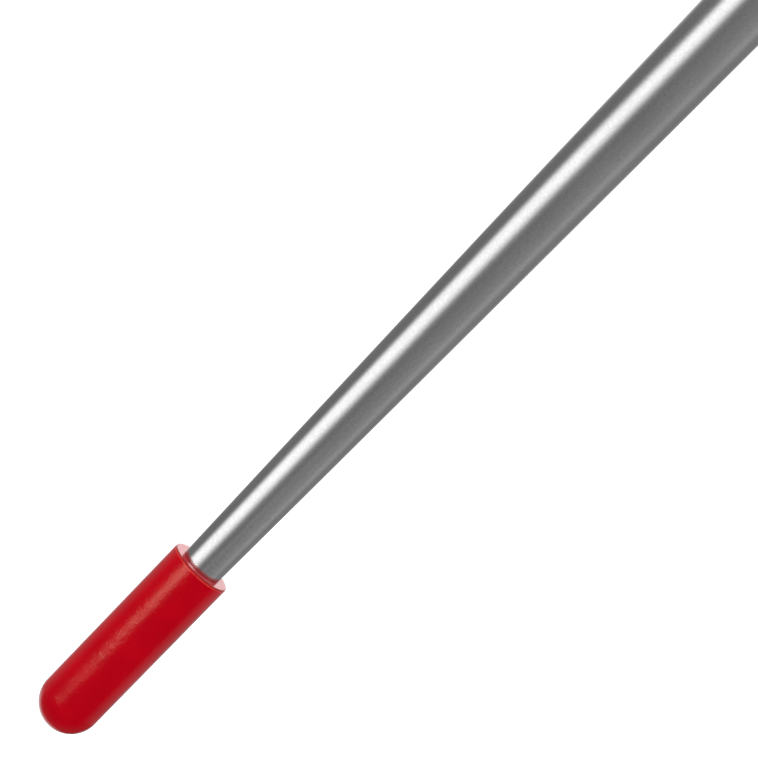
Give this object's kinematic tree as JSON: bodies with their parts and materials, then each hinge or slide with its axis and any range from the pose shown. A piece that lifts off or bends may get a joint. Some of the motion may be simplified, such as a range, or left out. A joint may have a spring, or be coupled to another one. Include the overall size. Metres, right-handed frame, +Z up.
{
  "type": "post driver",
  "caption": "Hand post driver: a closed, two-handled steel tube that slides on a guide rod with a tapered pilot spike and a red pull-off tip cap.",
  "frame": {"origin": "lowest point of the tip cap's round end, on the driver's axis", "axes": "+Z up along the driver's axis; the two handles lie in the XZ plane"},
  "size_m": [0.227, 0.088, 1.1438],
  "materials": {
    "spike_steel": "satin, fine ground",
    "rod_steel": "ground, polished",
    "turned_steel": "turned, light oil",
    "tube_steel": "drawn tube, brushed bright",
    "weld_steel": "weld bead, wire brushed",
    "spring_steel": "phosphated spring steel",
    "screw_steel": "zinc plated",
    "red_vinyl": "glossy moulded vinyl",
    "grip_vinyl": "semi-gloss moulded vinyl",
    "nylon": "natural nylon",
    "seal_rubber": "moulded rubber"
  },
  "bodies": {
    "bar": {"pilot_spike": "spike_steel", "depth_collar": "turned_steel", "guide_rod": "rod_steel", "spike_lock_pin": "spring_steel", "anvil_head": "turned_steel", "head_lock_pin": "spring_steel", "wear_ring": "nylon"},
    "cap": {"tip_cap": "red_vinyl"},
    "guide": {"mouth_bush": "nylon"},
    "driver": {"driver_tube": "tube_steel", "top_plug": "turned_steel", "top_weld": "weld_steel", "mouth_ring": "turned_steel", "mouth_screws": "screw_steel", "wiper_seal": "seal_rubber", "stop_ring": "turned_steel", "circlip": "spring_steel", "handle_right": "tube_steel", "handle_left": "tube_steel", "grip_right": "grip_vinyl", "grip_left": "grip_vinyl", "handle_welds": "weld_steel"}
  },
  "joints": [
    {"name": "tube_slide", "type": "slide", "parent": "bar", "child": "guide", "axis": [0, 0, 1], "range_m": [0, 0.3958]},
    {"name": "tube_spin", "type": "hinge", "parent": "guide", "child": "driver", "pos_m": [0, 0, 0.5936], "axis": [0, 0, 1], "continuous": true},
    {"name": "tip_cap_pull", "type": "slide", "parent": "bar", "child": "cap", "axis": [0, 0, -1], "range_m": [0, 0.12]}
  ]
}
